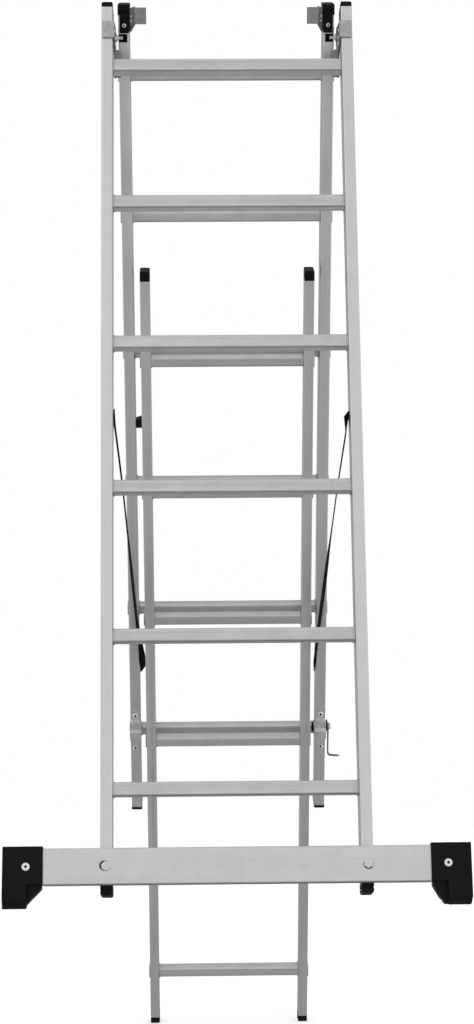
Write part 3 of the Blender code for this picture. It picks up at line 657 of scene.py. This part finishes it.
def stabiliser_foot(side, sign):
    """Moulded foot: block on the bar's end, a leg in front and a web set back beside it, on a dark ribbed sole."""
    inner, outer, leg = BAR_HALF + GAP, .4120, .3695
    top, sole, under = BAR_TOP + .0035, -1.6180, -1.5718
    front, back = FOOT_FRONT, FOOT_FRONT + BAR_DEEP + .0060
    web = .0 if sign < 0 else .0085     # the right foot's web and heel slant, the left one's are upright
    heel = [(outer - .0005, sole)] if sign < 0 else [(outer - .0085, sole), (outer - .0022, sole + .0050),
                                                     (outer, sole + .0170)]
    body = fillet([(inner, top), (inner, under), (leg, under), (leg, sole), *heel, (outer, -1.5900),
                   (outer - .0006, BAR_TOP), (outer - .0010, top)],
                  [.0012, .0015, .0010, .0012, *([.0018] if sign < 0 else [.005, .008, .01]), 0, 0, .0008], 5)
    low = [(inner + .0025, -1.5700), (inner + .0025, -1.5790), (.3630 - web, -1.5990), (leg - web, sole + .012),
           (leg - web * .7, sole), (leg + .010, sole), (leg + .010, -1.5700)]
    gusset = prism(fillet(low, [0, .0030, .0030, .0020, .0015, 0, 0], 4), "Y", front + .0100, back)
    mesh = cut(prism(body, "Y", front, back), [gusset], "UNION")
    left, right = leg - .0002, outer + .01
    pad = block((left, front - .002, sole - .01), (right, front + .0042, sole + .0140))
    lip = block((left, front - .002, sole + .0168), (right, front + .0012, sole + .0180))
    mesh = cut(mesh, [pad, lip])
    lean = math.tan(FRONT_LEAN)
    slope = prism([(front - .01, sole), (back + .01, sole + (back + .02 - front) * lean),
                   (back + .01, sole - .02), (front - .01, sole - .02)], "X", inner - .05, outer + .05)
    mesh = cut(mesh, [slope])
    ribs = []
    for k in range(4):
        y = front + .0060 + .0065 * k
        ribs.append(block((leg - .02, y, sole - .005), (right, y + .0025, sole + .0026 + .0060 * lean * (k + 1))))
    mesh = cut(mesh, [joined(*ribs)])
    bar_y, slack = -GAP - BAR_DEEP / 2, .0004     # the tenon fills the bar's bore but for this
    deep, high = BAR_DEEP / 2 - BAR_WALL - slack, BAR_HIGH / 2 - BAR_WALL - slack
    tenon = block((inner - .020, bar_y - deep, BAR_MID - high), (inner + .01, bar_y + deep, BAR_MID + high))
    mesh = cut(mesh, [tenon], "UNION")
    seat = turned([(.0088, front - .01), (.0088, front + .0006)], "Y", (FOOT_SCREW_X, 0, BAR_MID), 40)
    mesh = cut(mesh, [seat])
    piece(f"stabiliser_foot_moulding_{side}", flipped(mesh, sign), FRONT, "plastic", f"stabiliser_foot_{side}",
          bevel=.0009, angle=30)
    screw((sign * FOOT_SCREW_X, front + .0005, BAR_MID), .0072, .0033, FRONT, f"stabiliser_screw_{side}",
          f"stabiliser_foot_screw_{side}", recess=.30)


def front_section():
    for side, sign in SIDES:
        rail(FRONT, side, sign)
        plain_cap(FRONT, side, sign, .0110, .0028)
        foot(FRONT, side, sign, [
            (0, -.0001, 0), (-.0004, .0002, 0), (-.0070, .0002, 0), (-.0076, -.0008, 0), (-.0090, -.0008, 0),
            (-.0094, .0004, 0), (-.0104, .0004, 0), (-.0140, .0, .0), (-.0162, -.0006, .0006),
            (-.0172, -.0016, .0010), (-.0177, -.0034, .0016)], .0014)
        hinge_bracket(side, sign)
        hinge_pin(side, sign)
    rungs(FRONT, outside=False)
    stabiliser()


# ---- middle section ----
NOTCH = dict(inner=.1945, back=.0150, z=.0750, half=.0080)
FACE_X, CAP_SCREW_Z = .2010, .0995


def middle_section():
    for side, sign in SIDES:
        half = MIDDLE["width"] / 2
        tools = [block((NOTCH["inner"], -.004, NOTCH["z"] - NOTCH["half"]),
                       (half + .004, NOTCH["back"], NOTCH["z"] + NOTCH["half"]))]
        if sign > 0:
            tools.append(turned([(.0043, .15), (.0043, .25)], "X", (0, LATCH_Y, LATCH_Z), 24))
        rail(MIDDLE, side, sign, tools)
        middle_cap(side, sign)
        foot(MIDDLE, side, sign, [(0, .0003, 0), (-.0004, .0005, 0), (-.0044, .0005, 0), (-.0056, -.0002, .0005),
                                  (-.0062, -.0014, .0010)], .0010)
        guide_bracket(side, sign)
        lower_bracket(side, sign)
        liner(side, sign)
    rungs(MIDDLE)
    guide_block()
    latch()


def middle_cap(side, sign):
    """Top cap with a tongue down the rail's face, held by a screw in a shallow seat."""
    x, low, top, thick, half = FACE_X - .0009, .0845, MIDDLE["top"], .0025, .00915
    mesh = top_cap(MIDDLE, .0205, .0072, .0008)
    outline = fillet([(x - half, low), (x + half, low), (x + half, top + .006), (x - half, top + .006)],
                     [.0016, .0016, 0, 0])
    tongue = cut(prism(outline, "Y", -GAP - thick, .0012), [block((.18, -GAP, .05), (.23, .02, top + GAP))])
    mesh = cut(mesh, [tongue], "UNION")
    seat = turned([(.0062, -GAP - thick - .01), (.0062, -GAP - thick + .0007)], "Y", (x, 0, CAP_SCREW_Z), 36)
    mesh = cut(mesh, [seat])
    piece(f"cap_middle_{side}", flipped(mesh, sign), MIDDLE, "plastic", f"middle_top_cap_{side}", bevel=.0005, angle=40)
    screw((sign * x, -GAP - thick + .0006, CAP_SCREW_Z), .0042, .0026, MIDDLE, f"cap_screw_pan_{side}",
          f"cap_screw_{side}")


def liner(side, sign):
    """Bearing in the slot: a channel that is open outwards and in front."""
    wall, half = .0016, MIDDLE["width"] / 2
    inner, back = NOTCH["inner"] + GAP, NOTCH["back"] - GAP
    low, high = NOTCH["z"] - NOTCH["half"] + GAP, NOTCH["z"] + NOTCH["half"] - GAP
    shell = block((inner, -.0006, low), (half - GAP, back, high))
    hollow = block((inner + wall, -.02, low + wall), (half + .01, back - wall, high - wall))
    piece(f"liner_moulding_{side}", flipped(cut(shell, [hollow]), sign), MIDDLE, "plastic", f"hinge_liner_{side}",
          bevel=.0004, segments=2)


def guide_bracket(side, sign):
    """Bent steel guide: riveted inside the rail, slanting in, with a flange in front of the lower rail."""
    rail_inner = MIDDLE["width"] / 2 - MIDDLE["face"] - GAP
    t, bend, tip, flange = .0026, .1803, .1560, -.0435
    outline = fillet([(rail_inner, .0400), (rail_inner, -.0020), (bend, -.0120), (bend, flange - t), (tip, flange - t),
                      (tip, flange), (bend - t, flange), (bend - t, -.0100), (rail_inner - t, .0),
                      (rail_inner - t, .0400)], [.0006, .006, .006, .0040, .0006, .0006, .0015, .004, .004, .0006], 5)
    side_view = fillet([(-.060, .1050), (-.060, .1365), (-.0135, .1365), (-.0020, .1325), (.0100, .1300),
                        (.0390, .1240), (.0390, .0860), (.0060, .0860), (-.0015, .0885), (-.0050, .0945),
                        (-.0085, .1000), (-.0125, .1045)],
                       [0, 0, .002, .004, .006, .004, .003, .002, .004, .006, .006, .004], 4)
    mesh = cut(prism(outline, "Z", .060, .150), [prism(side_view, "X", .10, .25)], "INTERSECT")
    # its finish is the darker copy of the steel, which paints its shade
    piece(f"guide_pressing_{side}", flipped(mesh, sign), MIDDLE, "guide", f"guide_bracket_{side}", bevel=.0006,
          segments=2)
    for number, y in enumerate((.0090, .0290), start=1):
        rivet((sign * (rail_inner - t), y, .1130), "X", -sign, .0034, MIDDLE, f"guide_rivet_{side}_{number}")
    for number, z in enumerate((.1170, .1085), start=3):
        rivet((sign * .1857, -.0084, z), "Y", -1, .0021, MIDDLE, f"guide_rivet_{side}_{number}")


def lower_bracket(side, sign):
    """Pressed strip on the rail's face that steps out twice and turns sharply back to its lower end."""
    t, half = .0030, .0125
    face, front = -GAP, -GAP - t
    first, second = front - .0050, front - .0090
    outer = [(front, -1.3430), (front, -1.3655), (first, -1.3700), (first, -1.3872), (second, -1.3930),
             (second, -1.4245), (front, -1.4250), (front, -1.4385)]
    inner = [(face, -1.4385), (face, -1.4222), (second + t, -1.4215), (second + t, -1.3945), (first + t, -1.3885),
             (first + t, -1.3712), (face, -1.3668), (face, -1.3430)]
    mesh = prism(fillet(outer + inner, [.0004, .003, .003, .004, .004, .0015, .0008, .0004,
                                        .0004, .0004, .001, .004, .004, .003, .003, .0004], 4),
                 "X", FACE_X - half, FACE_X + half)
    ends, waist, clear = FACE_X - .0100, FACE_X - .0124, FACE_X - .0200
    trim = prism(fillet([(clear, -1.34), (ends, -1.34), (ends, -1.3690), (waist, -1.3730), (waist, -1.4080),
                         (ends, -1.4140), (ends, -1.44), (clear, -1.44)], [0, 0, .004, .004, .006, .006, 0, 0], 4),
                 "Y", -.05, .05)
    other = trim.copy()
    other.transform(Matrix.Translation((FACE_X * 2, 0, 0)) @ Matrix.Scale(-1, 4, (1, 0, 0)))
    other.flip_normals()
    mesh = cut(mesh, [trim, other])
    piece(f"lower_pressing_{side}", flipped(mesh, sign), MIDDLE, "strip", f"lower_bracket_{side}", bevel=.0009)
    for number, z in enumerate((-1.3560, -1.4308), start=1):
        screw((sign * (FACE_X + .0004), front + .0002, z), .0060, .0026, MIDDLE,
              f"lower_bracket_screw_{side}_{number}", recess=.46)


def guide_block():
    """Spacer moulding inside the left rail."""
    outline = fillet([(-.1896, -.7165), (-.1775, -.7165), (-.1775, -.6965), (-.1896, -.7000)],
                     [.0006, .0012, .0012, .0006])
    piece("guide_spacer", prism(outline, "Y", .0110, .0410), MIDDLE, "plastic", "guide_block", bevel=.0008)


def latch():
    """Bolt through the right rail with a nut inside it, and a lever with a moulded boss outside."""
    out, near, far = MIDDLE["width"] / 2, MIDDLE["width"] / 2 + .0050, MIDDLE["width"] / 2 + .0080
    shaft = [(.0, .1870), (.0034, .1870), (.0040, .1876), (.0040, out + .0028), (.0075, out + .0028),
             (.0075, near - GAP), (.0040, near - GAP), (.0040, far + GAP)]
    head = [(.0070, far + GAP), (.0072, far + .0010), (.0072, far + .0024), (.0062, far + .0040), (.0040, far + .0048),
            (.0, far + .0050)]
    piece("latch_bolt_turned", turned(shaft + head, "X", (0, LATCH_Y, LATCH_Z), 36), MIDDLE, "zinc", "latch_bolt",
          angle=30)
    nut_out = out - MIDDLE["face"] - .0022 - 3 * GAP
    nut = prism(rounded(.0128, .0200, .0030), "X", nut_out - .0042, nut_out)
    nut.transform(Matrix.Translation((0, .0072, LATCH_Z)))
    piece("latch_inner_nut", nut, MIDDLE, "plastic", bevel=.0010)

    tip = .2430
    arm = [(near, .0080), (far, .0080), (far, -.0600), (far + .0012, -.0640), (far + .0045, -.0668), (tip, -.0684),
           (tip, -.0700), (far + .0032, -.0690), (near + .0020, -.0666), (near + .0004, -.0640), (near, -.0600)]
    strip = prism(fillet(arm, [.0003, .0003, .004, .003, .003, .0002, .0002, .003, .003, .003, .003], 4),
                  "Y", -.0070, .0070)
    left = [(-.0036, -.0720), (-.0040, -.0480), (-.0070, -.0080), (-.0070, .0040), (-.0040, .0080)]
    radii = [.001, .02, .02, .004, .004]
    shape = fillet(left + [(-y, z) for y, z in reversed(left)], radii + radii[::-1], 5)
    lever = cut(strip, [prism(shape, "X", .20, .26)], "INTERSECT")
    lever = cut(lever, [turned([(.0043, .20), (.0043, .24)], "X", (0, 0, 0), 24)])
    # its steel is darkened as painted shade
    piece("latch_lever_pressing", lever, LEVER, "lever", "latch_lever", bevel=.0004, segments=2)
    left, radii = [(-.0085, -.0090), (-.0085, .0080), (-.0050, .0150)], [.004, .006, .005]
    shape = fillet(left + [(-y, z) for y, z in reversed(left)], radii + radii[::-1], 6)
    boss = cut(prism(shape, "X", out + .0020, near - .0002), [turned([(.0079, .20), (.0079, .24)], "X", (0, 0, 0), 36)])
    piece("latch_boss", boss, LEVER, "plastic", bevel=.0008)


# ---- lower section ----
def lower_section():
    for side, sign in SIDES:
        rail(LOWER, side, sign)
        plain_cap(LOWER, side, sign, .0200, .0070)
        lower_foot(side, sign)
    rungs(LOWER)


def lower_foot(side, sign):
    """Long foot whose sole is cut level with the floor, with grooves across it."""
    mesh = plugged(LOWER, LOWER["bottom"] - GAP, [
        (0, -.0002, 0), (-.0003, .0, 0), (-.0040, .0, 0), (-.0043, -.0003, 0), (-.0048, -.0003, 0), (-.0051, .0, 0),
        (-.0400, .0, 0)])
    sole, lean = LOWER["bottom"] - .0137, math.tan(REAR_LEAN)
    slope = [(-.02, sole + .02 * lean), (.08, sole - .08 * lean), (.08, sole - .08), (-.02, sole - .08)]
    mesh = cut(mesh, [prism(slope, "X", .10, .25)])
    tread = []
    for k in range(5):
        y = .0075 + .0088 * k
        low = sole - y * lean
        tread.append(block((.10, y - .0011, low - .02), (.25, y + .0011, low + .0013)))
    mesh = cut(mesh, [joined(*tread)])
    piece(f"foot_lower_{side}", flipped(mesh, sign), LOWER, "plastic", f"lower_foot_{side}", bevel=.0005, segments=2,
          angle=32)


# ---- straps ----
STRAP_WIDE, STRAP_THICK = .025, .0020


def strap(side, sign, near_twist, edge_on, far_twist):
    """Webbing from the front rail's inner side to the middle rail's, twisted by an angle at each end."""
    start = FRONT["place"] @ Vector((sign * .2165, .030, -.697))
    end = MIDDLE["place"] @ Vector((sign * .1865, .026, -1.256))
    along = end - start
    up = along.normalized()
    across = (Vector((1, 0, 0)) - up * up.x).normalized()
    flat = up.cross(across)
    half, h, steps = STRAP_WIDE / 2, STRAP_THICK / 2, 60
    outline = fillet([(-half, -h), (half, -h), (half, h), (-half, h)], .0006, 2)
    edit = bmesh.new()
    rows = []
    for k in range(steps + 1):
        t = k / steps
        near, far = max(0.0, 1 - t / .06), max(0.0, (t - .80) / .20)
        rise = min(1.0, max(0.0, (t - .40) / .22))
        run = math.radians(edge_on + (4.5 - edge_on) * rise * rise * (3 - 2 * rise))
        twist = sign * (run + math.radians(near_twist) * near ** 1.3 + math.radians(far_twist) * far ** 1.4)
        wide = flat * math.cos(twist) + across * math.sin(twist)
        thick = across * math.cos(twist) - flat * math.sin(twist)
        inward = half * (.55 * math.sin(math.radians(abs(near_twist))) * near
                         + .85 * math.sin(math.radians(far_twist)) * far)
        outward = .0034 * max(0.0, 1 - t / .30) ** 1.5
        centre = start + along * t - across * (sign * inward) + across * (sign * outward)
        rows.append([(edit.verts.new(centre + wide * a + thick * b), a, along.length * t) for a, b in outline])
    layer = edit.loops.layers.uv.new("strap")
    count = len(rows[0])
    for one, other in zip(rows, rows[1:]):
        for i in range(count):
            j = (i + 1) % count
            quad = (one[i], one[j], other[j], other[i])
            made = edit.faces.new([q[0] for q in quad])
            for loop, q in zip(made.loops, quad):
                loop[layer].uv = (q[1] * 1000, q[2] * 1000)
    edit.faces.new([q[0] for q in reversed(rows[0])])
    edit.faces.new([q[0] for q in rows[-1]])
    bmesh.ops.recalc_face_normals(edit, faces=edit.faces)
    mesh = bpy.data.meshes.new(f"strap_webbing_{side}")
    edit.to_mesh(mesh)
    edit.free()
    mesh.shade_smooth()
    mesh.set_sharp_from_angle(angle=math.radians(50))
    mesh.materials.append(FINISH["webbing"][0])
    made = bpy.data.objects.new(f"strap_webbing_{side}", mesh)
    scene.collection.objects.link(made)
    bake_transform(made)
    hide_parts(f"strap_{side}")


front_section()
middle_section()
lower_section()
strap("left", -1, 7, -2, 26)
strap("right", 1, -26, -7, -5)


# ---- floor, light and camera ----
def floor():
    """Pale round floor whose edge fades into the background."""
    edit = bmesh.new()
    bmesh.ops.create_circle(edit, cap_ends=True, segments=96, radius=9.0)
    mesh = bpy.data.meshes.new("floor")
    edit.to_mesh(mesh)
    edit.free()
    made = bpy.data.objects.new("floor", mesh)
    made.location = (0, 0, -.0012)
    scene.collection.objects.link(made)
    n = Nodes("pale_floor")
    where = n.add("ShaderNodeTexCoord").outputs["Object"]
    grain = n.noise(where, 3.0, 4.0)
    n.finish(n.mixed(grain, (.86, .86, .86), (.90, .90, .90)), .65, n.bump(n.noise(where, 300.0, 2.0), .05, .0005),
             Specular_IOR_Level=.1, Emission_Strength=.56)
    n.shader.inputs["Emission Color"].default_value = (1, 1, 1, 1)
    length = n.add("ShaderNodeVectorMath", {0: where}, operation="LENGTH").outputs["Value"]
    fade = n.add("ShaderNodeMapRange", {"Value": length}, interpolation_type="SMOOTHSTEP",
                 in_From_Min=1.6, in_From_Max=6.0, in_To_Min=0.0, in_To_Max=1.0)
    clear = n.tree.nodes.new("ShaderNodeBsdfTransparent")
    both = n.add("ShaderNodeMixShader", {0: fade, 1: n.shader.outputs[0], 2: clear})
    n.link(both, n.tree.nodes["Material Output"].inputs["Surface"])
    made.data.materials.append(n.material)
    made.visible_glossy = False


def studio():
    """Soft studio: bright above and in front, darker below and behind, on a white background."""
    world = bpy.data.worlds.new("studio")
    scene.world = world
    world.use_nodes = True
    tree = world.node_tree
    tree.nodes.clear()
    new = tree.nodes.new
    where = new("ShaderNodeTexCoord")
    parts = new("ShaderNodeSeparateXYZ")
    tree.links.new(where.outputs["Generated"], parts.inputs[0])

    def ramp(stops):
        made = new("ShaderNodeValToRGB")
        height = new("ShaderNodeMapRange")
        height.inputs["From Min"].default_value, height.inputs["From Max"].default_value = -1.0, 1.0
        tree.links.new(parts.outputs["Z"], height.inputs["Value"])
        tree.links.new(height.outputs[0], made.inputs[0])
        elements = made.color_ramp.elements
        while len(elements) < len(stops):
            elements.new(.5)
        for element, (z, value) in zip(elements, stops):
            element.position = (z + 1) / 2
            element.color = (value, value, value * 1.01, 1)
        return made

    ahead = ramp(((-1, .42), (-.80, .50), (-.73, .36), (-.67, .03), (-.61, .06), (-.55, .50), (-.40, .68), (-.1, .66),
                  (.28, .76), (.55, .71), (1, .58)))
    behind = ramp(((-1, .13), (-.5, .13), (-.27, .40), (.0, .46), (.27, .42), (.45, .18), (.66, .18), (.72, .55),
                   (1, .58)))
    depth = new("ShaderNodeMapRange")
    depth.interpolation_type = "SMOOTHSTEP"
    depth.inputs["From Min"].default_value, depth.inputs["From Max"].default_value = -.45, .35
    tree.links.new(parts.outputs["Y"], depth.inputs["Value"])
    mix = new("ShaderNodeMix")
    mix.data_type = "RGBA"
    tree.links.new(depth.outputs[0], mix.inputs[0])
    tree.links.new(ahead.outputs[0], mix.inputs[6])
    tree.links.new(behind.outputs[0], mix.inputs[7])
    lit, white = new("ShaderNodeBackground"), new("ShaderNodeBackground")
    choose, out, path = new("ShaderNodeMixShader"), new("ShaderNodeOutputWorld"), new("ShaderNodeLightPath")
    tree.links.new(mix.outputs[2], lit.inputs["Color"])
    white.inputs["Color"].default_value = (1, 1, 1, 1)
    tree.links.new(path.outputs["Is Camera Ray"], choose.inputs[0])
    tree.links.new(lit.outputs[0], choose.inputs[1])
    tree.links.new(white.outputs[0], choose.inputs[2])
    tree.links.new(choose.outputs[0], out.inputs["Surface"])


def softbox(name, place, aim, size, power):
    data = bpy.data.lights.new(name, "AREA")
    data.shape, data.size, data.size_y, data.energy = "RECTANGLE", size[0], size[1], power
    made = bpy.data.objects.new(name, data)
    made.location = place
    made.rotation_euler = (Vector(aim) - Vector(place)).to_track_quat("-Z", "Y").to_euler()
    scene.collection.objects.link(made)


floor()
studio()
softbox("key", (-2.6, -3.8, 4.4), (0, 0, 1.1), (2.2, 2.2), 12)
softbox("fill", (3.4, -3.0, 2.6), (0, 0, 1.0), (2.0, 2.6), 10)
softbox("top", (.4, .8, 4.8), (0, .1, 0), (3.0, 3.0), 8)

camera = bpy.data.objects.new("camera", bpy.data.cameras.new("camera"))
scene.collection.objects.link(camera)
yaw, roll = .020247, -.00783
ahead = Vector((math.sin(yaw), math.cos(yaw), 0))
level = Vector((math.cos(yaw), -math.sin(yaw), 0))
right = level * math.cos(roll) + Vector((0, 0, 1)) * math.sin(roll)
up = right.cross(ahead)
camera.matrix_world = Matrix.Translation((-.0750, -4.4328, .9770)) @ Matrix((right, up, -ahead)).transposed().to_4x4()
camera.data.sensor_width, camera.data.lens, camera.data.shift_y = 36.0, 77.34, .0762
camera.data.clip_start, camera.data.clip_end = .1, 60.0
scene.camera = camera
scene.view_settings.view_transform = "Standard"
